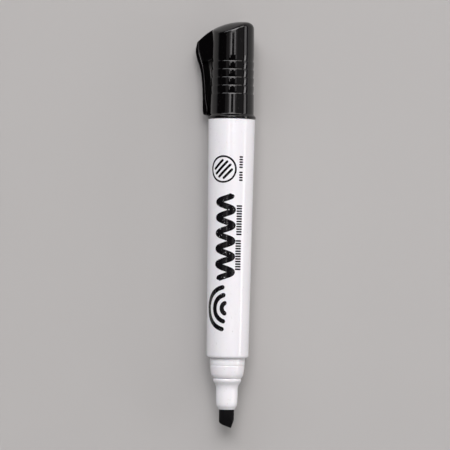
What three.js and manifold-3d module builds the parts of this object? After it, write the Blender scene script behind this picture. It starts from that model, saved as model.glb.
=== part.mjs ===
// Whiteboard marker with its cap posted on the rear end, in millimetres, +Z up.
// It lies on its side: the axis runs along Y with the nib towards -Y. The cap's clip is on the -X side and
// turned down, so that the marker stands on the cap's flange and on the lower edge of the clip.
// Distances along the axis are measured from the cap's mouth, positive towards the closed end of the cap.
// The origin is the middle of the rest face, the flat at the bottom of the cap's mouth flange.

import * as THREE from 'three';
import { mergeVertices } from 'three/addons/utils/BufferGeometryUtils.js';
import Module from 'manifold-3d';

const wasm = await Module();
wasm.setup();

// Driving dimensions.
const barrelRearRadius = 9.0;
const barrelFrontRadius = 8.08;
const barrelRear = -0.3;
const barrelFront = -91.8;
const barrelWall = 1.25;
const barrelEdgeRounding = 1.25;
const sectionRadius = 6.74;
const sectionTip = -111.5;
const nibRadius = 2.86;
const nibTip = -118.6;
const capBodyRadius = 8.45;
const capCrownRadius = 8.02;
const capCrownStart = 33.0;
const flangeRadius = 9.25;
const flangeRim = 0.7;
const flangeTop = 1.6;
const stubRadius = 6.7;
const stubEnd = 9.0;
const runningGap = 0.1;
const seatGap = 0.3;

// Every turned piece is a polygon with one flat facing straight down, drawn round the true circle.
const SIDES = 40;
const FINE_SIDES = 24;

const whitePlastic = { color: 0xf3f3f6, roughness: 0.3, metalness: 0 };
const blackPlastic = { color: 0x0c0b0d, roughness: 0.18, metalness: 0 };
const sealPlastic = { color: 0xd9dadd, roughness: 0.5, metalness: 0 };
const blackFelt = { color: 0x0a0a0b, roughness: 0.95, metalness: 0 };
const inkFibre = { color: 0x17161c, roughness: 0.9, metalness: 0 };
const clearFilm = { color: 0xc9ccd2, roughness: 0.25, metalness: 0 };

// A solid of revolution about the Y axis. The outline holds [radius, height] points, anticlockwise.
function turned(outline, sides = SIDES) {
  const spread = 1 / Math.cos(Math.PI / sides);
  const points = outline.map(([radius, height]) => new THREE.Vector2(radius * spread, height));
  return new THREE.LatheGeometry(points, sides, Math.PI / sides);
}

// The same for a ring-shaped piece, whose outline closes on itself.
function turnedRing(outline, sides = SIDES) {
  return turned([...outline, outline[0]], sides);
}

// A plate cut to an outline in the XY plane and centred on z = 0.
function plate(outline, thickness) {
  const shape = new THREE.Shape(outline.map(([x, y]) => new THREE.Vector2(x, y)));
  const geometry = new THREE.ExtrudeGeometry(shape, { depth: thickness, bevelEnabled: false });
  return geometry.translate(0, 0, -thickness / 2);
}

function toSolid(geometry) {
  const bare = geometry.clone();
  bare.deleteAttribute('normal');
  bare.deleteAttribute('uv');
  const merged = mergeVertices(bare, 1e-5);
  const vertProperties = Float32Array.from(merged.attributes.position.array);
  const triVerts = Uint32Array.from(merged.index.array);
  return new wasm.Manifold(new wasm.Mesh({ numProp: 3, vertProperties, triVerts }));
}

function toGeometry(solid) {
  const mesh = solid.getMesh();
  const geometry = new THREE.BufferGeometry();
  geometry.setAttribute('position', new THREE.BufferAttribute(mesh.vertProperties, 3));
  geometry.setIndex(new THREE.BufferAttribute(mesh.triVerts, 1));
  geometry.computeVertexNormals();
  return geometry;
}

// Points of a quarter-round from one angle to another, both ends included.
function arcPoints(centreRadius, centreHeight, radius, startDegrees, endDegrees, steps) {
  return Array.from({ length: steps + 1 }, (_, i) => {
    const angle = THREE.MathUtils.degToRad(THREE.MathUtils.lerp(startDegrees, endDegrees, i / steps));
    return [centreRadius + radius * Math.cos(angle), centreHeight + radius * Math.sin(angle)];
  });
}

function splinePoints(knots, steps) {
  const curve = new THREE.SplineCurve(knots.map(([x, y]) => new THREE.Vector2(x, y)));
  return curve.getPoints(steps).map((point) => [point.x, point.y]);
}

// The barrel tapers evenly from its rear end to its front edge, and so does its bore.
function barrelRadiusAt(height) {
  return THREE.MathUtils.mapLinear(height, 0, barrelFront, barrelRearRadius, barrelFrontRadius);
}

function barrelGeometry() {
  const frontBore = barrelFrontRadius - barrelWall;
  const rearBore = barrelRearRadius - barrelWall;
  const centreRadius = barrelFrontRadius - barrelEdgeRounding;
  const centreHeight = barrelFront + barrelEdgeRounding;
  return turnedRing([
    ...arcPoints(centreRadius, centreHeight, barrelEdgeRounding, -90, 0, 5),
    [barrelRadiusAt(barrelRear), barrelRear],
    [rearBore, barrelRear],
    [frontBore, barrelFront + 1],
  ]);
}

// The nib holder: a plug inside the barrel, a banded shoulder, a small second dome and the nib tube.
function frontSectionGeometry() {
  const plugEnd = -83;
  const boreRadius = 5.3;
  const nibBore = nibRadius + runningGap;
  return turnedRing([
    [nibBore, sectionTip],
    ...arcPoints(3.0, sectionTip + 1.0, 1.0, -90, -15, 4),
    [4.2, -107.2],
    [4.2, -103.4],
    [4.38, -102.6],
    [4.68, -101.9],
    [5.18, -101.1],
    [5.51, -100.3],
    [5.45, -99.6],
    [5.95, -98.8],
    [6.26, -98.0],
    [6.49, -96.5],
    [6.6, -95.0],
    [6.54, -94.6],
    [6.68, -94.3],
    [sectionRadius, -92.7],
    [sectionRadius, plugEnd - 1],
    [sectionRadius - 0.6, plugEnd],
    [boreRadius, plugEnd],
    [boreRadius, -97],
    [nibBore, -100.5],
  ]);
}

// A straight felt rod. Its front is a wedge, cut off on a slant, with the point away from the clip.
function nibGeometry() {
  const rearEnd = -77.6;
  const wedgeStart = -113.4;
  const wedgeTipHalf = 1.0;
  const rod = toSolid(turned([
    [0, nibTip],
    [nibRadius, nibTip],
    [nibRadius, rearEnd - 1.2],
    [nibRadius - 1.0, rearEnd],
    [0, rearEnd],
  ], FINE_SIDES));
  const sideOutline = [
    [-wedgeTipHalf, nibTip - 1],
    [wedgeTipHalf, nibTip - 1],
    [nibRadius + 0.5, wedgeStart],
    [nibRadius + 0.5, rearEnd + 1],
    [-nibRadius - 0.5, rearEnd + 1],
    [-nibRadius - 0.5, wedgeStart],
  ];
  const wedge = toSolid(plate(sideOutline, 3 * nibRadius).rotateY(Math.PI / 2));
  const slantOutline = [
    [-nibRadius - 1, rearEnd + 1],
    [-nibRadius - 1, -115.6],
    [-1.7, -117.35],
    [1.6, -118.55],
    [2.0, -118.3],
    [nibRadius, -115.8],
    [nibRadius + 1, -112.9],
    [nibRadius + 1, rearEnd + 1],
  ];
  const slant = toSolid(plate(slantOutline, 3 * nibRadius));
  return toGeometry(rod.intersect(wedge).intersect(slant));
}

const reservoirFront = -82.6;
const reservoirRear = -12;
const reservoirRadius = 6.2;

// The fibre rod is open at its front, where the nib's stem sits in it.
function reservoirGeometry() {
  const socketRadius = nibRadius + 0.15;
  const socketEnd = -77.2;
  return turned([
    [0, socketEnd],
    [socketRadius, socketEnd],
    [socketRadius, reservoirFront],
    [reservoirRadius, reservoirFront],
    [reservoirRadius, reservoirRear],
    [0, reservoirRear],
  ]);
}

function sheathGeometry() {
  const inner = reservoirRadius + runningGap;
  const outer = inner + 0.25;
  return turnedRing([
    [inner, reservoirFront],
    [outer, reservoirFront],
    [outer, reservoirRear],
    [inner, reservoirRear],
  ]);
}

// The plug closes the barrel and carries the stub that the cap is pushed on.
function tailPlugGeometry() {
  const plugRadius = 7.45;
  const plugFront = -8;
  const wall = 1.3;
  const beadHeight = 5;
  const beadRadius = stubRadius + 0.1;
  return turned([
    [0, stubEnd - wall],
    [stubRadius - wall, stubEnd - wall],
    [stubRadius - wall, plugFront],
    [plugRadius - 0.5, plugFront],
    [plugRadius, plugFront + 0.8],
    [plugRadius, barrelRear],
    [stubRadius, barrelRear],
    [stubRadius, beadHeight - 0.8],
    [beadRadius, beadHeight],
    [stubRadius, beadHeight + 0.8],
    [stubRadius, stubEnd - 0.8],
    [stubRadius - 0.8, stubEnd],
    [0, stubEnd],
  ]);
}

// The cap's body narrows slightly towards its closed end.
function capRadiusAt(height) {
  return THREE.MathUtils.mapLinear(height, flangeTop, capCrownStart, capBodyRadius, capCrownRadius);
}

// Five sawtooth rings for the fingers: each sinks in towards the mouth and ends in a sharp step.
const gripRings = 5;
const gripFirst = 9.5;
const gripPitch = 3.1;
const gripLength = 2.0;
const gripDepth = 0.22;

function gripOutline() {
  return Array.from({ length: gripRings }, (_, i) => {
    const step = gripFirst + i * gripPitch;
    const flush = step + gripLength;
    return [
      [capRadiusAt(step), step],
      [capRadiusAt(step) - gripDepth, step],
      [capRadiusAt(flush), flush],
    ];
  }).flat();
}

function capBodyOutline() {
  return [
    [0, 0],
    [flangeRadius, 0],
    [flangeRadius, flangeRim],
    [capBodyRadius, flangeTop],
    ...gripOutline(),
    [capCrownRadius, capCrownStart],
    [7.98, 34.3],
    [7.75, 35.4],
    [7.2, 36.2],
    [6.3, 36.8],
    [5.0, 37.2],
    [0, 37.4],
  ];
}

// The inside of the cap: a bore that narrows slightly, closed by the crown.
const capBoreMouth = 6.9;
const capBoreEnd = 6.5;
const capBoreDepth = 30.6;

function capBoreOutline() {
  return [
    [0, -1],
    [capBoreMouth + 0.5, -1],
    [capBoreMouth + 0.4, 0],
    [capBoreMouth, 0.8],
    [capBoreEnd, capBoreDepth - 1],
    [capBoreEnd - 1, capBoreDepth],
    [0, capBoreDepth],
  ];
}

// The top, the clip and its web are made with the clip towards -X, then turned down about the axis.
const clipWidth = 5.6;
const webWidth = 4.6;
const clipReach = 15.0;
const groundGap = 0.02;

// The turn that brings the clip's lower outer edge down to the ground.
function clipRoll() {
  const edgeRadius = Math.hypot(clipReach, clipWidth / 2);
  const edgeAngle = Math.asin((flangeRadius - groundGap) / edgeRadius);
  return edgeAngle - Math.atan2(clipWidth / 2, clipReach);
}

// The top of the cap: a long arc that falls towards the clip, and an even crown across it.
const ridgeCentreX = 3.3;
const ridgeCentreHeight = 12.0;
const ridgeRadius = 25.2;
const crownRadius = 7.8;

function topHeight(x, z) {
  const ridge = ridgeCentreHeight + Math.sqrt(ridgeRadius ** 2 - (x - ridgeCentreX) ** 2);
  return Math.max(ridge - z ** 2 / (2 * crownRadius), 20);
}

function crownBlock() {
  const low = -5;
  const left = -16;
  const right = 11;
  const halfDepth = 11;
  const geometry = new THREE.BoxGeometry(right - left, 2, 2 * halfDepth, 22, 1, 16);
  geometry.translate((left + right) / 2, 0, 0);
  const position = geometry.attributes.position;
  for (let i = 0; i < position.count; i += 1) {
    const height = position.getY(i) > 0 ? topHeight(position.getX(i), position.getZ(i)) : low;
    position.setY(i, height);
  }
  return geometry;
}

// The clip is a springy strip, which thickens at its nose towards the barrel.
function clipOutline() {
  const outerEdge = [
    [-14.3, 29.8],
    [-14.85, 28.6],
    [-clipReach, 27.2],
    [-clipReach, 25.6],
    [-14.4, 23.2],
    [-13.2, 20.4],
    [-12.35, 17.2],
    [-11.9, 12.7],
    [-11.65, 8.0],
    [-11.55, 3.2],
    [-11.2, 1.8],
    [-10.3, 1.35],
  ];
  const innerEdge = [
    [-9.5, 1.6],
    [-9.2, 2.6],
    [-9.3, 4.4],
    [-9.85, 6.8],
    [-10.15, 9.5],
    [-10.4, 13.5],
    [-10.8, 17.0],
    [-11.4, 20.2],
    [-12.5, 23.4],
    [-13.4, 26.0],
    [-13.2, 29.0],
  ];
  return [
    [-12.6, 38],
    [-14.2, 38],
    ...splinePoints(outerEdge, 24),
    ...splinePoints(innerEdge, 18),
  ];
}

// The web joins the strip to the cap's body above an arched slot, and is a little narrower than the strip.
function webOutline() {
  const slotEnd = [
    [-12.8, 22.9],
    [-12.2, 22.35],
    [-11.0, 22.25],
    [-9.8, 22.5],
    [-8.6, 23.0],
  ];
  return [
    [-5, 38],
    [-13.6, 38],
    [-13.6, 25.0],
    ...splinePoints(slotEnd, 8),
    [-7.8, 23.4],
    [-5, 23.4],
  ];
}

function capShellGeometry() {
  const roll = clipRoll();
  const body = toSolid(turned(capBodyOutline()));
  const clip = toSolid(plate(clipOutline(), clipWidth).rotateY(-roll));
  const web = toSolid(plate(webOutline(), webWidth).rotateY(-roll));
  const crown = toSolid(crownBlock().rotateY(-roll));
  const bore = toSolid(turned(capBoreOutline()));
  return toGeometry(body.add(clip).add(web).intersect(crown).subtract(bore));
}

// The inner cap is a cup, open towards the mouth, that closes round the nib tube.
function innerSealGeometry() {
  const mouth = 12;
  const base = capBoreDepth - seatGap;
  const flange = capBoreEnd - 1.2;
  const wall = 1.0;
  const cupRadius = 4.35;
  const cupEnd = 28.6;
  return turned([
    [0, cupEnd],
    [cupRadius - 0.3, cupEnd],
    [cupRadius, mouth + 1],
    [cupRadius + 0.4, mouth],
    [cupRadius + wall, mouth],
    [cupRadius + wall, base - 2.5],
    [flange + 0.9, base - 1.8],
    [flange + 0.9, base - 1.0],
    [flange, base],
    [0, base],
  ]);
}

function piece(name, geometry, look) {
  const mesh = new THREE.Mesh(geometry, new THREE.MeshStandardMaterial(look));
  mesh.name = name;
  return mesh;
}

const marker = new THREE.Group();
marker.position.set(0, -flangeRim / 2, flangeRadius);

marker.add(piece('barrel', barrelGeometry(), whitePlastic));
marker.add(piece('front_section', frontSectionGeometry(), whitePlastic));
marker.add(piece('nib', nibGeometry(), blackFelt));
marker.add(piece('ink_reservoir', reservoirGeometry(), inkFibre));
marker.add(piece('reservoir_sheath', sheathGeometry(), clearFilm));
marker.add(piece('tail_plug', tailPlugGeometry(), whitePlastic));
marker.add(piece('cap_shell', capShellGeometry(), blackPlastic));
marker.add(piece('cap_inner_seal', innerSealGeometry(), sealPlastic));

export default marker;
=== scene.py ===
"""A whiteboard marker lying on a pale floor, seen from straight above, with its cap posted on the rear end.

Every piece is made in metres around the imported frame. Outlines are written in millimetres: a radius or
an x across the marker, and a height along its axis, counted from the cap's mouth towards its closed end.
"""
import math

import bmesh
import bpy
from mathutils import Matrix, Quaternion, Vector


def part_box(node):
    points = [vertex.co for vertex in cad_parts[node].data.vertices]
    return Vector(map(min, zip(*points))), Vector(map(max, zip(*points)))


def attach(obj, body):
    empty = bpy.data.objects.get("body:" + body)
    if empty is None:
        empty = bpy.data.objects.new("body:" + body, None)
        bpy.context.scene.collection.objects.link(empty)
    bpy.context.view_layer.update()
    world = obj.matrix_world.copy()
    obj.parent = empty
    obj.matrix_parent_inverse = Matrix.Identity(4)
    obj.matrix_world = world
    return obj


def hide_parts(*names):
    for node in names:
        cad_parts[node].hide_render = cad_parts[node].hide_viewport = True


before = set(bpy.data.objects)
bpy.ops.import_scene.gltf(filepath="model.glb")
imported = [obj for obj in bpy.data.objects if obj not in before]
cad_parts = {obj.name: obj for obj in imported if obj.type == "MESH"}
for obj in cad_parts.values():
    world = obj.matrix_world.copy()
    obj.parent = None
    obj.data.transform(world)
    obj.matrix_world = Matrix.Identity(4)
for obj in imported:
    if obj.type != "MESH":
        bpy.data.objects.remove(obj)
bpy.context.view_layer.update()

MM = 0.001

# The axis and the plane of the cap's mouth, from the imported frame.
BARREL_LOW, BARREL_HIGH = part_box("barrel")
AXIS_Z = (BARREL_LOW.z + BARREL_HIGH.z) / 2
MOUTH_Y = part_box("cap_shell")[0].y

# Smooth faces meet in a crease where they turn by more than this.
CREASE_ANGLE = math.radians(32)
# Points closer together than this, in metres, become one.
MERGE_DISTANCE = 1e-8
# Each surface is drawn this much inside its CAD solid, so that the whole stays in the CAD model's box.
HAIR = 0.004
# The number of points round the barrel and the cap, and round the smaller pieces.
AROUND = 192
AROUND_SMALL = 96


def place(across, height, depth):
    """A point in metres from millimetres across, along and above the marker's axis."""
    return Vector((across * MM, MOUTH_Y + height * MM, AXIS_Z + depth * MM))


def span(node):
    """A node's lowest height, highest height and radius, in millimetres."""
    low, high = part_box(node)
    return (low.y - MOUTH_Y) / MM, (high.y - MOUTH_Y) / MM, (high.z - low.z) / 2 / MM - HAIR


def mix(a, b, t):
    return a + (b - a) * t


BARREL_FRONT, BARREL_REAR, REAR_RADIUS = span("barrel")
SECTION_TIP, SECTION_REAR, SECTION_RADIUS = span("front_section")
NIB_TIP, NIB_REAR, NIB_RADIUS = span("nib")
RESERVOIR_FRONT, RESERVOIR_REAR, RESERVOIR_RADIUS = span("ink_reservoir")
SHEATH_FRONT, SHEATH_REAR, SHEATH_RADIUS = span("reservoir_sheath")
PLUG_FRONT, STUB_END, PLUG_RADIUS = span("tail_plug")
SEAL_MOUTH, SEAL_BASE, SEAL_RADIUS = span("cap_inner_seal")
FLANGE_RADIUS = span("cap_shell")[2]

# The barrel's front end has a smaller radius than its rear.
FRONT_RADIUS = REAR_RADIUS - 0.92
BARREL_WALL = 1.25


# ---------------------------------------------------------------- mesh tools

def rounded(corners, steps=5):
    """The outline with every corner that has a third number cut back by that much and rounded."""
    path = []
    for i, (x, y, *cut) in enumerate(corners):
        here = Vector((x, y))
        if not cut:
            path.append(here)
            continue
        before = Vector(corners[i - 1][:2])
        after = Vector(corners[(i + 1) % len(corners)][:2])
        start = here + (before - here).normalized() * cut[0]
        end = here + (after - here).normalized() * cut[0]
        for k in range(steps + 1):
            t = k / steps
            path.append(start.lerp(here, t).lerp(here.lerp(end, t), t))
    return path


def through(knots, steps):
    """Points of a Catmull-Rom curve through the knots, with that many steps between two of them."""
    knots = [Vector(k) for k in knots]
    ends = [2 * knots[0] - knots[1], *knots, 2 * knots[-1] - knots[-2]]
    path = []
    for p0, p1, p2, p3 in zip(ends, ends[1:], ends[2:], ends[3:]):
        for k in range(steps):
            t = k / steps
            path.append(0.5 * (2 * p1 + (p2 - p0) * t + (2 * p0 - 5 * p1 + 4 * p2 - p3) * t ** 2
                               + (3 * p1 - p0 - 3 * p2 + p3) * t ** 3))
    return [*path, knots[-1]]


def finish_mesh(bm, name):
    """A smooth mesh with creases at its sharp edges."""
    bmesh.ops.remove_doubles(bm, verts=bm.verts, dist=MERGE_DISTANCE)
    bmesh.ops.recalc_face_normals(bm, faces=bm.faces)
    for face in bm.faces:
        face.smooth = True
    for edge in bm.edges:
        edge.smooth = edge.calc_face_angle(0) < CREASE_ANGLE
    mesh = bpy.data.meshes.new(name)
    bm.to_mesh(mesh)
    bm.free()
    return mesh


def add_piece(name, mesh, material, body, replaced=None):
    """A visible piece that rides on a body, with the given material. It may stand for a CAD node, which is
    then hidden.
    """
    piece = bpy.data.objects.new(name, mesh)
    bpy.context.scene.collection.objects.link(piece)
    piece.data.materials.append(material)
    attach(piece, body)
    if replaced:
        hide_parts(replaced)


def skin(bm, rings, joined=False):
    """Faces through rings of points. A ring of one point is a pole; joined closes the last onto the first."""
    loops = [[bm.verts.new(point) for point in ring] for ring in rings]
    following = loops[1:] + loops[:1] if joined else loops[1:]
    for lower, upper in zip(loops, following):
        count = max(len(lower), len(upper))
        for i in range(count):
            j = (i + 1) % count
            corners = [
                lower[i % len(lower)],
                lower[j % len(lower)],
                upper[j % len(upper)],
                upper[i % len(upper)],
            ]
            # A pole comes twice among them, and once in the face.
            bm.faces.new(dict.fromkeys(corners))


def closed_mesh(name, rings, joined=False):
    bm = bmesh.new()
    skin(bm, rings, joined)
    return finish_mesh(bm, name)


def circle(radius, height, count=AROUND):
    """A ring of points round the axis, starting away from the clip, or a pole where the radius is 0."""
    if radius == 0:
        return [place(0, height, 0)]
    angles = [2 * math.pi * i / count for i in range(count)]
    return [place(radius * math.cos(angle), height, radius * math.sin(angle)) for angle in angles]


def turned(name, outline, joined=False, count=AROUND):
    """A solid of revolution whose outline runs between two points on the axis, or closes on itself."""
    return closed_mesh(name, [circle(radius, height, count) for radius, height in outline], joined)


# ---------------------------------------------------------------- materials

def new_material(name):
    material = bpy.data.materials.new(name)
    material.use_nodes = True
    nodes = material.node_tree.nodes
    return material, nodes, material.node_tree.links, nodes["Principled BSDF"]


def object_noise(nodes, links, scale, along, detail):
    """Noise in the object's own coordinates, with that scale per metre, times along on the marker's axis."""
    coordinates = nodes.new("ShaderNodeTexCoord")
    mapping = nodes.new("ShaderNodeMapping")
    mapping.inputs["Scale"].default_value = (1, along, 1)
    noise = nodes.new("ShaderNodeTexNoise")
    noise.inputs["Scale"].default_value = scale
    noise.inputs["Detail"].default_value = detail
    links.new(coordinates.outputs["Object"], mapping.inputs["Vector"])
    links.new(mapping.outputs["Vector"], noise.inputs["Vector"])
    return noise.outputs["Fac"]


def spread(nodes, links, value, low, high, start=0.3, end=0.7):
    """The value stretched from start..end onto low..high."""
    remap = nodes.new("ShaderNodeMapRange")
    remap.inputs["From Min"].default_value = start
    remap.inputs["From Max"].default_value = end
    remap.inputs["To Min"].default_value = low
    remap.inputs["To Max"].default_value = high
    links.new(value, remap.inputs["Value"])
    return remap.outputs["Result"]


def blend_colours(nodes, links, factor, first, second):
    """The first colour where the factor is 0 and the second where it is 1. Each is a colour or an output."""
    blend = nodes.new("ShaderNodeMix")
    blend.data_type = "RGBA"
    for socket, colour in (("A", first), ("B", second)):
        if isinstance(colour, tuple):
            blend.inputs[socket].default_value = (*colour, 1)
        else:
            links.new(colour, blend.inputs[socket])
    links.new(factor, blend.inputs["Factor"])
    return blend.outputs["Result"]


def add_bump(nodes, links, shader, height, distance):
    """A bump from a height between 0 and 1, where 1 stands that many metres up."""
    bump = nodes.new("ShaderNodeBump")
    bump.inputs["Strength"].default_value = 1
    bump.inputs["Distance"].default_value = distance
    links.new(height, bump.inputs["Height"])
    links.new(bump.outputs["Normal"], shader.inputs["Normal"])


def add_glow(shader, weight, depth):
    """A little light scattered inside the plastic, to that depth in metres."""
    shader.inputs["Subsurface Weight"].default_value = weight
    shader.inputs["Subsurface Scale"].default_value = depth


def moulded_plastic(name, light, dark, scuff, roughness, gloss_change, ripple):
    """Glossy moulding: faint flow streaks and small scuffs in the colour, uneven gloss, a shallow ripple."""
    material, nodes, links, shader = new_material(name)
    streaks = object_noise(nodes, links, scale=260, along=0.12, detail=4)
    clean = blend_colours(nodes, links, spread(nodes, links, streaks, 0, 1), dark, light)
    marks = object_noise(nodes, links, scale=1700, along=0.45, detail=3)
    worn = spread(nodes, links, marks, 0, 1, start=0.66, end=0.78)
    links.new(blend_colours(nodes, links, worn, clean, scuff), shader.inputs["Base Color"])
    patches = object_noise(nodes, links, scale=900, along=0.4, detail=6)
    gloss = spread(nodes, links, patches, roughness - gloss_change, roughness + gloss_change)
    links.new(gloss, shader.inputs["Roughness"])
    waves = object_noise(nodes, links, scale=420, along=0.5, detail=2)
    add_bump(nodes, links, shader, waves, ripple)
    return material, shader


def white_plastic():
    material, shader = moulded_plastic(
        "white_plastic",
        light=(0.86, 0.86, 0.885),
        dark=(0.82, 0.815, 0.845),
        scuff=(0.66, 0.65, 0.66),
        roughness=0.1,
        gloss_change=0.03,
        ripple=0.00002,
    )
    add_glow(shader, weight=0.06, depth=0.002)
    return material


def black_plastic():
    material, _ = moulded_plastic(
        "black_plastic",
        light=(0.0018, 0.0014, 0.0017),
        dark=(0.0012, 0.001, 0.0012),
        scuff=(0.03, 0.028, 0.027),
        roughness=0.075,
        gloss_change=0.025,
        ripple=0.000004,
    )
    return material


def seal_plastic():
    material, shader = moulded_plastic(
        "seal_plastic",
        light=(0.8, 0.81, 0.83),
        dark=(0.72, 0.73, 0.76),
        scuff=(0.3, 0.3, 0.32),
        roughness=0.42,
        gloss_change=0.06,
        ripple=0.00002,
    )
    add_glow(shader, weight=0.3, depth=0.003)
    return material


def printed_ink():
    """Black printing ink, worn through to the white plastic in small specks."""
    ink = (0.005, 0.0045, 0.0055)
    bare = (0.6, 0.6, 0.62)
    material, nodes, links, shader = new_material("printed_ink")
    specks = object_noise(nodes, links, scale=1500, along=0.8, detail=3)
    worn = spread(nodes, links, specks, 0, 1, start=0.66, end=0.74)
    links.new(blend_colours(nodes, links, worn, ink, bare), shader.inputs["Base Color"])
    grain = object_noise(nodes, links, scale=3000, along=1, detail=2)
    links.new(spread(nodes, links, grain, 0.06, 0.12), shader.inputs["Roughness"])
    add_bump(nodes, links, shader, grain, 0.00001)
    return material


def fibrous(name, dark, light, scale, along, detail, smoothest, roughest, relief):
    """Fibres along the marker's axis, lighter and rougher where they stand up."""
    material, nodes, links, shader = new_material(name)
    fibres = object_noise(nodes, links, scale, along, detail)
    colour = blend_colours(nodes, links, spread(nodes, links, fibres, 0, 1), dark, light)
    links.new(colour, shader.inputs["Base Color"])
    links.new(spread(nodes, links, fibres, smoothest, roughest), shader.inputs["Roughness"])
    add_bump(nodes, links, shader, fibres, relief)
    return material, shader


def soaked_felt():
    """Pressed black felt with its fibres along the nib."""
    material, shader = fibrous(
        "soaked_felt",
        dark=(0.0012, 0.001, 0.0012),
        light=(0.006, 0.0055, 0.0065),
        scale=5200,
        along=0.1,
        detail=5,
        smoothest=0.5,
        roughest=0.85,
        relief=0.00012,
    )
    shader.inputs["Specular IOR Level"].default_value = 0.1
    return material


def inked_fibre():
    """The bundled fibres of the reservoir."""
    material, _ = fibrous(
        "inked_fibre",
        dark=(0.015, 0.014, 0.02),
        light=(0.05, 0.048, 0.06),
        scale=4200,
        along=0.05,
        detail=4,
        smoothest=0.7,
        roughest=1.0,
        relief=0.0001,
    )
    return material


def clear_film():
    """Thin clear film with shallow wrinkles along it."""
    dull = (0.7, 0.72, 0.76)
    bright = (0.86, 0.88, 0.9)
    material, nodes, links, shader = new_material("clear_film")
    wrinkles = object_noise(nodes, links, scale=500, along=0.2, detail=3)
    links.new(blend_colours(nodes, links, wrinkles, dull, bright), shader.inputs["Base Color"])
    links.new(spread(nodes, links, wrinkles, 0.12, 0.3), shader.inputs["Roughness"])
    add_bump(nodes, links, shader, wrinkles, 0.00005)
    shader.inputs["Transmission Weight"].default_value = 0.7
    return material


def floor_finish():
    """A pale matt floor with a barely visible mottle."""
    dark = (0.4, 0.396, 0.388)
    light = (0.43, 0.426, 0.418)
    material, nodes, links, shader = new_material("floor_finish")
    mottle = object_noise(nodes, links, scale=14, along=1, detail=6)
    links.new(blend_colours(nodes, links, mottle, dark, light), shader.inputs["Base Color"])
    links.new(spread(nodes, links, mottle, 0.6, 0.75), shader.inputs["Roughness"])
    return material


# ---------------------------------------------------------------- the barrel and what it holds

def barrel_radius(height):
    return mix(REAR_RADIUS, FRONT_RADIUS, height / BARREL_FRONT)


def make_barrel(material):
    bore_rear = REAR_RADIUS - BARREL_WALL
    bore_front = FRONT_RADIUS - BARREL_WALL
    mouth_chamfer = 0.35
    # Two of the points only divide the long wall.
    outline = rounded([
        (bore_front + 0.05, BARREL_FRONT),
        (FRONT_RADIUS, BARREL_FRONT, 1.25),
        (barrel_radius(-60), -60),
        (barrel_radius(-30), -30),
        (barrel_radius(BARREL_REAR), BARREL_REAR, 0.15),
        (bore_rear, BARREL_REAR, 0.15),
        (bore_front, BARREL_FRONT + 1),
        (bore_front, BARREL_FRONT + mouth_chamfer),
    ], 8)
    tube = turned("barrel_tube", outline, joined=True)
    add_piece("barrel_tube", tube, material, "marker", "barrel")


def make_front_section(material):
    """The nib holder: the nib tube, a flare, a bead, a shoulder and the part inside the barrel."""
    bore = 5.3
    nib_bore = NIB_RADIUS + 0.1
    outline = rounded([
        # The nib tube, from its rounded front end.
        (nib_bore, SECTION_TIP, 0.1),
        (3.15, SECTION_TIP, 0.1),
        (3.95, SECTION_TIP + 1.45, 0.35),
        (4.11, -108.9, 0.3),
        (4.2, -106.0),
        # The flare and the bead, with a groove behind it.
        (4.2, -103.2, 0.8),
        (4.6, -102.0, 0.5),
        (5.36, -100.8, 0.25),
        (5.53, -100.2, 0.25),
        (5.45, -99.72, 0.12),
        (5.38, -99.55, 0.06),
        (5.62, -99.42, 0.1),
        # The shoulder, with the seam line round it.
        (6.22, -98.4, 0.75),
        (6.5, -96.4, 0.9),
        (6.6, -95.0),
        (6.61, -94.72, 0.05),
        (6.49, -94.6, 0.05),
        (6.64, -94.45, 0.06),
        (6.74, -93.6, 0.2),
        # The part inside the barrel, and back through the bore.
        (SECTION_RADIUS, -93.0, 0.2),
        (SECTION_RADIUS, SECTION_REAR - 1, 0.2),
        (SECTION_RADIUS - 0.6, SECTION_REAR, 0.1),
        (bore, SECTION_REAR, 0.1),
        (bore, -97, 0.5),
        (nib_bore, -100.5, 0.5),
    ], 5)
    holder = turned("section_holder", outline, joined=True)
    add_piece("section_holder", holder, material, "marker", "front_section")


def nib_point(radius, angle, height):
    """A point of the nib's round surface, pulled in to the wedge's two faces near the tip."""
    wedge_start = -113.3
    tip_half = 0.95
    sharpness = 10
    across = radius * math.cos(angle)
    depth = radius * math.sin(angle)
    share = (height - wedge_start) / (NIB_TIP - wedge_start)
    limit = mix(NIB_RADIUS, tip_half, share) * radius / NIB_RADIUS
    over = abs(depth) / limit
    return across, depth / (1 + over ** sharpness) ** (1 / sharpness)


def nib_end(across):
    """The height of the slanted end: a long slant with a cut corner, and a steep one away from the clip."""
    softness = 0.12
    tip_at = 1.7
    corner_at = -1.7
    steep_from = 1.8
    long_slant = 0.37 * (tip_at - across)
    cut_corner = 1.2 + 0.8 * (corner_at - across)
    steep_slant = 2.75 * (across - steep_from)
    rises = [long_slant, cut_corner, steep_slant]
    return NIB_TIP + softness * math.log(sum(math.exp(rise / softness) for rise in rises))


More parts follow.
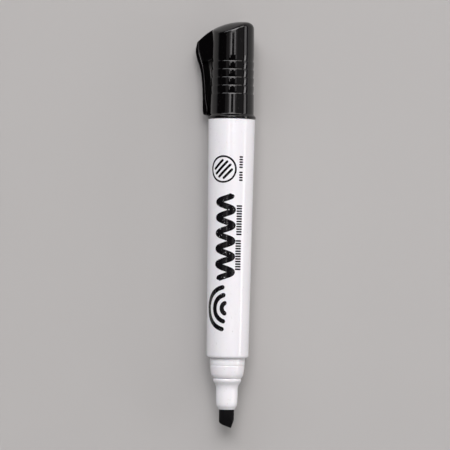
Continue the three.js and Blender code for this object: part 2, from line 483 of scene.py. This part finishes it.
def make_nib(material):
    """The felt nib: a straight rod, a wedge with a rounded edge, and the slanted end."""
    edge = 0.35
    rod_end = -109.5
    wedge_steps = 24
    edge_steps = 4
    face_steps = 10
    angles = [2 * math.pi * i / AROUND_SMALL for i in range(AROUND_SMALL)]

    def nib_ring(radius, height_at):
        ring = []
        for angle in angles:
            height = height_at(nib_end(radius * math.cos(angle)))
            across, depth = nib_point(radius, angle, height)
            ring.append(place(across, height, depth))
        return ring

    rod = rounded([
        (0.5, NIB_REAR),
        (NIB_RADIUS - 0.9, NIB_REAR, 0.4),
        (NIB_RADIUS, NIB_REAR - 1.2, 0.4),
        (NIB_RADIUS, NIB_REAR - 3),
    ])
    rings = [[place(0, NIB_REAR, 0)]]
    for radius, height in rod:
        rings.append(circle(radius, height, AROUND_SMALL))
    for step in range(wedge_steps + 1):
        share = step / wedge_steps
        rings.append(nib_ring(NIB_RADIUS, lambda end, share=share: mix(rod_end, end + edge, share)))
    for step in range(1, edge_steps + face_steps):
        turn = min(step / edge_steps, 1) * math.pi / 2
        inwards = max(step - edge_steps, 0) / face_steps * (NIB_RADIUS - edge)
        radius = NIB_RADIUS - edge * (1 - math.cos(turn)) - inwards
        lift = edge * (1 - math.sin(turn))
        rings.append(nib_ring(radius, lambda end, lift=lift: end + lift))
    rings.append([sum(rings[-1], Vector()) / len(angles)])
    add_piece("felt_nib", closed_mesh("felt_nib", rings), material, "marker", "nib")


def make_reservoir(fibre, film):
    """The fibre rod with the socket for the nib's stem, and the film sleeve round it."""
    socket = NIB_RADIUS + 0.15
    socket_end = NIB_REAR + 0.4
    core = rounded([
        (0, socket_end),
        (socket, socket_end, 0.2),
        (socket, RESERVOIR_FRONT, 0.2),
        (RESERVOIR_RADIUS, RESERVOIR_FRONT, 0.3),
        (RESERVOIR_RADIUS, RESERVOIR_REAR, 0.3),
        (0, RESERVOIR_REAR),
    ])
    rod = turned("fibre_core", core, count=AROUND_SMALL)
    add_piece("fibre_core", rod, fibre, "marker", "ink_reservoir")
    inside = SHEATH_RADIUS - 0.23
    walls = [
        (inside, SHEATH_FRONT),
        (SHEATH_RADIUS, SHEATH_FRONT),
        (SHEATH_RADIUS, SHEATH_REAR),
        (inside, SHEATH_REAR),
    ]
    sleeve = turned("film_sleeve", walls, joined=True, count=AROUND_SMALL)
    add_piece("film_sleeve", sleeve, film, "marker", "reservoir_sheath")


def make_tail_plug(material):
    """The plug in the barrel's rear end and the stub that the cap is pushed on."""
    stub = PLUG_RADIUS - 0.75
    bead = stub + 0.1
    wall = 1.3
    outline = rounded([
        (0, STUB_END - wall),
        (stub - wall, STUB_END - wall, 0.5),
        (stub - wall, PLUG_FRONT, 0.15),
        (PLUG_RADIUS - 0.5, PLUG_FRONT, 0.2),
        (PLUG_RADIUS, PLUG_FRONT + 0.8, 0.3),
        (PLUG_RADIUS, BARREL_REAR, 0.15),
        (stub, BARREL_REAR, 0.2),
        (stub, 4.2, 0.4),
        (bead, 5.0, 0.5),
        (stub, 5.8, 0.4),
        (stub, STUB_END - 0.8, 0.4),
        (stub - 0.8, STUB_END, 0.5),
        (0, STUB_END),
    ])
    plug = turned("plug_with_stub", outline)
    add_piece("plug_with_stub", plug, material, "marker", "tail_plug")


# ---------------------------------------------------------------- the cap

# The flange, the tapered body, the bore and the grip rings.
FLANGE_TOP = 1.6
BODY_RADIUS = FLANGE_RADIUS - 0.8
CROWN_RADIUS = FLANGE_RADIUS - 1.23
CROWN_START = 33.0
BORE_MOUTH = BODY_RADIUS - 1.55
BORE_END = BODY_RADIUS - 1.95
BORE_DEPTH = SEAL_BASE + 0.3
GRIP_RINGS = 5
GRIP_FIRST = 9.5
GRIP_PITCH = 3.1
GRIP_DEPTH = 0.24


def cap_radius(height):
    return mix(BODY_RADIUS, CROWN_RADIUS, (height - FLANGE_TOP) / (CROWN_START - FLANGE_TOP))


def grip_outline():
    """Sawtooth rings: from each step line the wall rises in a hollow curve to a rib with a rounded edge."""
    rib_edge = 0.4
    rib_cut = 0.11
    rib_steps = 5
    step_width = 0.05
    rise = 2.6
    rise_steps = 8
    outline = []
    for ring in range(GRIP_RINGS):
        line = GRIP_FIRST + ring * GRIP_PITCH
        for k in range(rib_steps + 1):
            t = k / rib_steps
            height = line - rib_edge * (1 - t)
            outline.append((cap_radius(height) - rib_cut * t ** 2, height))
        for k in range(rise_steps + 1):
            t = k / rise_steps
            height = line + step_width + t * rise
            outline.append((cap_radius(height) - GRIP_DEPTH * (1 - t) ** 2, height))
    return outline


# The clip, before the cap is turned, reaches this far from the axis towards -X.
CLIP_REACH = 15.0
# Half the clip's width and half the web's.
CLIP_HALF = 2.8
WEB_HALF = 2.3
# The rounding of the clip's edges, and how far its outer face is crowned.
CLIP_CORNER = 0.4
CLIP_CROWN = 0.2
# The edge round the top of the clip and the web is cut back by this much.
RIM_CUT = 0.42
# The clip's edge ends this much above the ground.
GROUND_GAP = 0.02
# The arc along the top, and the radius of the crown across it.
RIDGE_CENTRE_X = 3.3
RIDGE_CENTRE_HEIGHT = 12.0 - HAIR
RIDGE_RADIUS = 25.2
TOP_CROWN = 7.8


def clip_roll():
    """The turn about the axis that brings the clip's lower outer edge down to the ground."""
    ground = FLANGE_RADIUS + HAIR - GROUND_GAP
    edge = math.asin(ground / math.hypot(CLIP_REACH, CLIP_HALF))
    return edge - math.atan2(CLIP_HALF, CLIP_REACH)


ROLL = clip_roll()


def in_cap(across, height, depth):
    """A point of the cap, given as if the clip pointed straight towards -X."""
    return place(across * math.cos(ROLL) - depth * math.sin(ROLL), height,
                 across * math.sin(ROLL) + depth * math.cos(ROLL))


def top_height(across, depth):
    """The slanted top: a long arc that falls towards the clip, and an even crown across it."""
    ridge = RIDGE_CENTRE_HEIGHT + math.sqrt(RIDGE_RADIUS ** 2 - (across - RIDGE_CENTRE_X) ** 2)
    return ridge - depth ** 2 / (2 * TOP_CROWN)


def edge_cut(angle):
    """How far the edge round the top is rounded: widely on the high side, tightly elsewhere."""
    tight = 0.5
    wide = 2.1
    return mix(tight, wide, max(math.cos(angle), 0) ** 3)


def cap_ring(profile):
    """A ring round the cap. The profile gives its radius and height at an angle from the high side."""
    ring = []
    for i in range(AROUND):
        angle = 2 * math.pi * i / AROUND
        radius, height = profile(angle)
        ring.append(in_cap(radius * math.cos(angle), height, radius * math.sin(angle)))
    return ring


def top_at(radius, angle):
    return top_height(radius * math.cos(angle), radius * math.sin(angle))


def cap_body_rings():
    """Rings from the bore's end, out round the flange, up the wall and over the slanted top."""
    # The wall keeps this radius where it turns over into the top.
    rim = cap_radius(34.5)
    inside = rounded([
        (0, BORE_DEPTH),
        (BORE_END, BORE_DEPTH, 1.0),
        (BORE_MOUTH, 0.9, 0.3),
        (BORE_MOUTH + 0.45, 0, 0.1),
        (FLANGE_RADIUS, 0, 0.12),
        (FLANGE_RADIUS, 0.72, 0.2),
        (BODY_RADIUS, FLANGE_TOP, 0.3),
        (cap_radius(FLANGE_TOP + 0.6), FLANGE_TOP + 0.6),
    ], 4)
    plain = [(cap_radius(height), height) for height in (4, 7, GRIP_FIRST - 0.6)]
    outline = [*inside, *plain, *grip_outline()]
    rings = [[place(0, BORE_DEPTH, 0)]]
    for point in outline[1:]:
        rings.append(cap_ring(lambda angle, point=point: point))
    grip_end = outline[-1][1]

    def wall(angle, share):
        height = mix(grip_end, top_at(rim, angle) - edge_cut(angle), share)
        return cap_radius(height), height

    def edge(angle, share):
        low = Vector(wall(angle, 1))
        corner = Vector((rim, top_at(rim, angle)))
        inner = rim - edge_cut(angle)
        end = Vector((inner, top_at(inner, angle)))
        return low.lerp(corner, share).lerp(corner.lerp(end, share), share)

    def top(angle, share):
        radius = (rim - edge_cut(angle)) * (1 - share)
        return radius, top_at(radius, angle)

    # Over the top the last step is a single point.
    for stretch, steps, last in ((wall, 10, 10), (edge, 6, 6), (top, 16, 15)):
        for step in range(1, last + 1):
            rings.append(cap_ring(lambda angle, stretch=stretch, share=step / steps: stretch(angle, share)))
    rings.append([place(0, top_height(0, 0), 0)])
    return rings


def bar_section(inner, outer, half, corner, crown):
    """A section of the clip or its web from inner to outer edge: (share of the way, across, depth) points."""
    parts = 10
    end_shares = (-0.6, -0.2, 0.2, 0.6)
    length = abs(outer - inner)
    # In a thin section the two corners of a side still leave room between them.
    corner = min(corner, 0.45 * length, 0.9 * half)
    stops = [mix(corner, length - corner, k / parts) for k in range(1, parts)]
    outline = [
        *[(0, half * share) for share in end_shares],
        (0, half, corner),
        *[(stop, half) for stop in stops],
        (length, half, corner),
        *[(length, -half * share) for share in end_shares],
        (length, -half, corner),
        *[(stop, -half) for stop in reversed(stops)],
        (0, -half, corner),
    ]
    sign = 1 if outer > inner else -1
    points = []
    for distance, depth in rounded(outline, 4):
        share = distance / length
        bulge = crown * share * (depth / half) ** 2
        points.append((share, inner + sign * (distance - bulge), depth))
    return points


def rim_rings(wall, inset, surface, cut):
    """Rings that round the edge from a wall, cut below the surface (or above it), onto the surface."""
    rings = []
    steps = 5
    for step in range(1, steps + 1):
        t = step / steps
        ring = []
        for (_, x0, z0), (_, x1, z1) in zip(wall, inset):
            low = Vector((x0, surface(x0, z0) - cut, z0))
            corner = Vector((x0, surface(x0, z0), z0))
            end = Vector((x1, surface(x1, z1), z1))
            ring.append(in_cap(*low.lerp(corner, t).lerp(corner.lerp(end, t), t)))
        rings.append(ring)
    for share in (0.75, 0.5, 0.25, 0):
        rings.append([in_cap(x, surface(x, z * share), z * share) for _, x, z in inset])
    return rings


def clip_rings():
    """Rings up the clip from its nose to the slanted top."""
    outer_path = through([(-10.3, 1.36), (-11.2, 1.8), (-11.5, 3.3), (-11.62, 6.5), (-11.72, 9.5),
                          (-11.95, 13.2), (-12.45, 17.2), (-13.3, 20.5), (-14.35, 23.1), (-14.98, 25.6)], 4)
    inner_path = through([(-9.75, 1.5), (-9.22, 2.3), (-9.24, 4.1), (-9.78, 6.6), (-10.13, 9.5),
                          (-10.4, 13.2), (-10.8, 17.0), (-11.45, 20.3), (-12.4, 23.2), (-13.2, 25.8)], 4)
    half = CLIP_HALF - HAIR
    nose_rings = 4
    nose_rounding = 0.7
    rings = []
    for i, (outer, inner) in enumerate(zip(outer_path, inner_path)):
        growth = min(1, i / nose_rings)
        here = half - nose_rounding * (1 - math.sqrt(1 - (1 - growth) ** 2))
        section = bar_section(inner.x, outer.x, here, CLIP_CORNER, CLIP_CROWN * growth)
        rings.append([in_cap(x, mix(inner.y, outer.y, share), depth) for share, x, depth in section])
    rings.insert(0, [sum(rings[0], Vector()) / len(rings[0])])

    flank = through([tuple(outer_path[-1]), (-CLIP_REACH + HAIR, 26.9), (-14.85, 28.3), (-14.45, 29.3)], 4)
    root = through([tuple(inner_path[-1]), (-13.42, 27.1), (-13.5, 28.4), (-13.5, 29.6)], 4)
    steps = len(flank) - 1
    for step in range(1, steps + 1):
        ring = []
        for share, x, depth in bar_section(root[step].x, flank[step].x, half, CLIP_CORNER, CLIP_CROWN):
            foot = mix(inner_path[-1].y, outer_path[-1].y, share)
            height = mix(foot, top_height(x, depth) - RIM_CUT, step / steps)
            ring.append(in_cap(x, height, depth))
        rings.append(ring)
    wall = bar_section(root[-1].x, flank[-1].x, half, CLIP_CORNER, CLIP_CROWN)
    inset = bar_section(root[-1].x, flank[-1].x + RIM_CUT, half - RIM_CUT, CLIP_CORNER, CLIP_CROWN)
    return rings + rim_rings(wall, inset, top_height, RIM_CUT)


def slot_end(across, _depth):
    """The end of the slot behind the clip: a hollow curve from side to side, the same at every depth."""
    lowest = 22.25
    lowest_at = -11.6
    return lowest + 0.07 * (across - lowest_at) ** 2


def web_rings():
    """Rings up the web between the clip and the cap's body, from the slot's end to the slanted top."""
    inside = -7.0
    outside = -13.7
    corner = 0.1
    slot_cut = 0.12
    wall = bar_section(inside, outside, WEB_HALF, corner, 0)
    inset = bar_section(inside, outside, WEB_HALF - RIM_CUT, corner, 0)
    slot_inset = bar_section(inside, outside, WEB_HALF - slot_cut, corner, 0)
    rings = list(reversed(rim_rings(wall, slot_inset, slot_end, -slot_cut)))
    steps = 6
    for step in range(steps + 1):
        ring = []
        for _, x, depth in wall:
            height = mix(slot_end(x, depth) + slot_cut, top_height(x, depth) - RIM_CUT, step / steps)
            ring.append(in_cap(x, height, depth))
        rings.append(ring)
    return rings + rim_rings(wall, inset, top_height, RIM_CUT)


def join_solids(name, meshes):
    """One mesh from closed ones that overlap."""
    pieces = []
    for mesh in meshes:
        piece = bpy.data.objects.new(name, mesh)
        bpy.context.scene.collection.objects.link(piece)
        pieces.append(piece)
    for tool in pieces[1:]:
        union = pieces[0].modifiers.new("union", "BOOLEAN")
        union.operation = "UNION"
        union.solver = "MANIFOLD"
        union.object = tool
    bpy.context.view_layer.update()
    joined = pieces[0].evaluated_get(bpy.context.evaluated_depsgraph_get())
    bm = bmesh.new()
    bm.from_mesh(joined.to_mesh())
    joined.to_mesh_clear()
    for piece in pieces:
        bpy.data.objects.remove(piece)
    return finish_mesh(bm, name)


def make_cap_shell(material):
    solids = [
        closed_mesh("cap_body", cap_body_rings()),
        closed_mesh("cap_clip", clip_rings()),
        closed_mesh("cap_web", web_rings()),
    ]
    add_piece("clip_cap", join_solids("clip_cap", solids), material, "cap", "cap_shell")


def make_inner_seal(material):
    """The softer cup inside the cap that closes round the nib tube."""
    cup = 4.35
    cup_end = SEAL_BASE - 1.7
    wall = 1.0
    outline = rounded([
        (0, cup_end),
        (cup - 0.3, cup_end, 0.5),
        (cup, SEAL_MOUTH + 1, 0.3),
        (cup + 0.4, SEAL_MOUTH, 0.15),
        (cup + wall, SEAL_MOUTH, 0.2),
        (cup + wall, SEAL_BASE - 2.5, 0.2),
        (SEAL_RADIUS, SEAL_BASE - 1.8, 0.2),
        (SEAL_RADIUS, SEAL_BASE - 1.0, 0.2),
        (SEAL_RADIUS - 0.9, SEAL_BASE, 0.2),
        (0, SEAL_BASE),
    ])
    seal = turned("seal_cup", outline, count=128)
    add_piece("seal_cup", seal, material, "cap", "cap_inner_seal")


# ---------------------------------------------------------------- the print on the barrel

# The ink's underside is this much above the barrel, so that the two surfaces never coincide.
INK_LIFT = 0.012
INK_THICKNESS = 0.03


def on_barrel(around, height, lift):
    """A point on the barrel, given the distance round it from the top of the barrel, away from the clip."""
    radius = barrel_radius(height)
    angle = around / radius
    return place((radius + lift) * math.sin(angle), height, (radius + lift) * math.cos(angle))


def stroke(bm, path, width, closed=False):
    """A flat stroke of ink along (around, height) points, with round ends unless it is closed."""
    path = [Vector(point) for point in path]
    count = len(path)
    # At its very end a stroke keeps this share of its width.
    least = 0.02
    lengths = [0.0]
    for a, b in zip(path, path[1:]):
        lengths.append(lengths[-1] + (b - a).length)
    rings = []
    for i, point in enumerate(path):
        before = path[i - 1] if i or closed else point
        after = path[(i + 1) % count] if i < count - 1 or closed else point
        along = (after - before).normalized()
        side = Vector((-along.y, along.x))
        half = width / 2
        if not closed:
            room = min(lengths[i], lengths[-1] - lengths[i])
            inside = min(room / half, 1)
            half *= max(math.sqrt(1 - (1 - inside) ** 2), least)
        places = [point + side * half * share for share in (-1, -0.5, 0, 0.5, 1)]
        top = [on_barrel(*spot, INK_LIFT + INK_THICKNESS) for spot in places]
        bottom = [on_barrel(*spot, INK_LIFT) for spot in reversed(places)]
        rings.append(top + bottom)
    if not closed:
        rings.insert(0, [sum(rings[0], Vector()) / len(rings[0])])
        rings.append([sum(rings[-1], Vector()) / len(rings[-1])])
    skin(bm, rings, joined=closed)


def straight(start, end, width):
    """Points of a straight stroke, close enough together to bend round the barrel and to round its ends."""
    start = Vector(start)
    end = Vector(end)
    spacing = 0.8
    length = (end - start).length
    radius = min(width / 2, length / 2)
    first = [radius * share for share in (0, 0.05, 0.18, 0.35, 0.6, 1)]
    parts = max(1, round((length - 2 * radius) / spacing))
    middle = [mix(radius, length - radius, k / parts) for k in range(1, parts)]
    last = [length - stop for stop in reversed(first)]
    return [start.lerp(end, stop / length) for stop in first + middle + last]


def arc(centre, radius, start, end, steps):
    """Points of an arc between two angles in degrees."""
    angles = [math.radians(mix(start, end, k / steps)) for k in range(steps + 1)]
    return [Vector(centre) + radius * Vector((math.cos(a), math.sin(a))) for a in angles]


def print_ring(bm):
    """A ring with slanting bars in it."""
    centre = Vector((-3.0, -19.6))
    radius = 4.9
    line = 0.7
    steps = 72
    stroke(bm, arc(centre, radius, 0, 360 * (1 - 1 / steps), steps - 1), line, closed=True)
    slant = Vector((0.72, -0.69))
    across = Vector((0.69, 0.72))
    bars = 4
    bar_pitch = 1.7
    bar_width = 0.95
    bar_limit = 3.7
    for k in range(bars):
        offset = (k - (bars - 1) / 2) * bar_pitch
        middle = centre + slant * offset
        reach = across * math.sqrt(bar_limit ** 2 - offset ** 2)
        stroke(bm, straight(middle - reach, middle + reach, bar_width), bar_width)


def print_wave(bm):
    """A bold wavy stroke, like a first line tried out on a board."""
    start = -29.2
    end = -61.8
    waves = 5.5
    swing = 2.85
    middle = -1.75
    line = 2.3
    steps = 220
    points = []
    for k in range(steps + 1):
        t = k / steps
        around = middle + swing * math.cos(2 * math.pi * waves * t)
        points.append((around, mix(start, end, t)))
    stroke(bm, points, line)


def print_ticks(bm, start, end, around, size, gaps=()):
    """A row of short ticks along the barrel, with some left out."""
    pitch = 0.98
    line = 0.62
    count = int(abs(end - start) / pitch)
    for k in range(count + 1):
        if k in gaps:
            continue
        height = start - k * pitch
        stroke(bm, straight((around - size / 2, height), (around + size / 2, height), line), line)


def print_arcs(bm):
    """Three nested arcs, like the sweep of an eraser."""
    centre = (-0.4, -72.6)
    line = 1.7
    for radius in (2.2, 5.2, 8.2):
        stroke(bm, arc(centre, radius, 98, 262, 60), line)


def make_print(material):
    """The generic shapes printed along the barrel, in one thin layer of ink."""
    bm = bmesh.new()
    print_ring(bm)
    print_wave(bm)
    print_ticks(bm, start=-14.9, end=-24.6, around=4.0, size=1.5, gaps=(5,))
    print_ticks(bm, start=-33.6, end=-45.0, around=3.6, size=2.3)
    print_ticks(bm, start=-46.9, end=-58.6, around=3.4, size=2.3)
    print_arcs(bm)
    add_piece("barrel_print", finish_mesh(bm, "barrel_print"), material, "marker")


# ---------------------------------------------------------------- floor, light and camera

# The lights' colours.
WARM = (1, 0.96, 0.97)
SOFT_BLUE = (0.96, 0.97, 1.0)
SOFT_YELLOW = (1, 0.965, 0.93)
# The strips hang about this far from the marker, in metres.
STRIP_DISTANCE = 1.1


def make_floor():
    bpy.ops.mesh.primitive_plane_add(size=6)
    floor = bpy.context.object
    floor.name = "floor"
    floor.data.materials.append(floor_finish())


def add_lamp(name, kind, colour):
    """A light that the camera doesn't see."""
    light = bpy.data.lights.new(name, kind)
    light.color = colour
    lamp = bpy.data.objects.new(name, light)
    lamp.visible_camera = False
    bpy.context.scene.collection.objects.link(lamp)
    return lamp


def area_light(name, position, target, width, length, radiance):
    """A soft rectangle that faces the target, with its length as nearly along Y as that allows."""
    lamp = add_lamp(name, "AREA", WARM)
    lamp.data.shape = "RECTANGLE"
    lamp.data.size = width
    lamp.data.size_y = length
    lamp.data.energy = radiance * math.pi * width * length
    facing = (Vector(position) - Vector(target)).normalized()
    along = (Vector((0, 1, 0)) - facing * facing.y).normalized()
    across = along.cross(facing)
    turn = Matrix((across, along, facing)).transposed()
    lamp.matrix_world = Matrix.LocRotScale(Vector(position), turn.to_quaternion(), None)


def strip(name, lean, breadth, start, end, radiance):
    """A light along Y from start to end. Its lean from the vertical and its breadth are in degrees."""
    lean = math.radians(lean)
    middle = (start + end) / 2
    position = (STRIP_DISTANCE * math.sin(lean), middle, STRIP_DISTANCE * math.cos(lean))
    width = STRIP_DISTANCE * math.radians(breadth)
    area_light(name, position, (0, middle, AXIS_Z), width, end - start, radiance)


def far_light(name, direction, breadth, radiance, colour):
    """A round soft light far away, that many degrees wide, which lights the whole floor evenly."""
    lamp = add_lamp(name, "SUN", colour)
    lamp.data.angle = math.radians(breadth)
    lamp.data.energy = radiance * math.pi * math.sin(lamp.data.angle / 2) ** 2
    lamp.rotation_euler = Vector(direction).to_track_quat("Z", "Y").to_euler()


def make_lights():
    """Strips for the long highlights, a lamp behind the clip, and far lights for the floor and shading."""
    strip("left_glow", lean=-9.9, breadth=8.2, start=0.065, end=0.18, radiance=3.4)
    strip("right_glow", lean=10.3, breadth=7.9, start=0.065, end=0.18, radiance=2.7)
    strip("rear_glow", lean=0, breadth=28, start=0.18, end=0.42, radiance=2.4)
    strip("left_shoulder", lean=-18, breadth=8, start=0.065, end=0.42, radiance=0.6)
    strip("right_shoulder", lean=18.5, breadth=8, start=0.065, end=0.42, radiance=0.5)
    strip("left_halo", lean=-29, breadth=14, start=-0.3, end=0.42, radiance=0.22)
    strip("right_halo", lean=41, breadth=37, start=-0.3, end=0.42, radiance=0.22)
    strip("left_line", lean=-15.5, breadth=3.2, start=-0.1, end=0.063, radiance=2.6)
    strip("right_line", lean=18, breadth=8, start=-0.2, end=0.063, radiance=0.8)
    strip("side_strip", lean=71, breadth=14, start=0.06, end=0.9, radiance=2.0)
    strip("side_streak", lean=71, breadth=11, start=-0.35, end=0.06, radiance=4.6)
    area_light("lamp", (-0.78, 0.64, 0.45), (0, 0, 0), width=0.12, length=0.12, radiance=4.0)
    for side, radiance, tone in ((-1, 0.5, SOFT_BLUE), (1, 1.2, SOFT_YELLOW)):
        far_light("front_light", (side * 0.62, -0.85, 0.75), breadth=35, radiance=radiance, colour=tone)
        far_light("rear_light", (side * 0.62, 0.95, 0.65), breadth=30, radiance=3.1, colour=tone)
    far_light("rear_sky", (0, 0.75, 1), breadth=40, radiance=6.4, colour=WARM)


def make_world():
    """A pale horizon under a nearly dark ceiling, which fades between two heights of the view direction."""
    horizon = 0.3
    ceiling = 0.015
    fade_start = 0.02
    fade_end = 0.16
    world = bpy.data.worlds.new("studio")
    world.use_nodes = True
    nodes = world.node_tree.nodes
    links = world.node_tree.links
    direction = nodes.new("ShaderNodeTexCoord")
    parts = nodes.new("ShaderNodeSeparateXYZ")
    fade = nodes.new("ShaderNodeMapRange")
    fade.interpolation_type = "SMOOTHSTEP"
    fade.inputs["From Min"].default_value = fade_start
    fade.inputs["From Max"].default_value = fade_end
    fade.inputs["To Min"].default_value = horizon
    fade.inputs["To Max"].default_value = ceiling
    links.new(direction.outputs["Generated"], parts.inputs["Vector"])
    links.new(parts.outputs["Z"], fade.inputs["Value"])
    links.new(fade.outputs["Result"], nodes["Background"].inputs["Strength"])
    nodes["Background"].inputs["Color"].default_value = (0.95, 0.95, 1.0, 1)
    bpy.context.scene.world = world


def make_camera():
    """Above the barrel with a long lens, with the marker upright in the picture and leaning a little."""
    # The camera's place and the point it looks at, in millimetres from the middle of the cap's mouth.
    foot = -55.8
    aim = -40.8
    beside = -1.86
    distance = 976.8
    half_view = math.radians(5.053)
    lean = math.radians(1.04)
    camera = bpy.data.cameras.new("camera")
    camera.lens = camera.sensor_width / 2 / math.tan(half_view)
    holder = bpy.data.objects.new("camera", camera)
    holder.location = place(beside, foot, distance)
    looking = (place(beside, aim, 0) - holder.location).to_track_quat("-Z", "Y")
    holder.rotation_euler = (looking @ Quaternion((0, 0, 1), lean)).to_euler()
    bpy.context.scene.collection.objects.link(holder)
    bpy.context.scene.camera = holder


# ---------------------------------------------------------------- the whole scene

def build():
    white = white_plastic()
    make_barrel(white)
    make_front_section(white)
    make_nib(soaked_felt())
    make_reservoir(inked_fibre(), clear_film())
    make_tail_plug(white)
    make_cap_shell(black_plastic())
    make_inner_seal(seal_plastic())
    make_print(printed_ink())
    make_floor()
    make_lights()
    make_world()
    make_camera()
    bpy.context.scene.view_settings.view_transform = "Standard"


build()
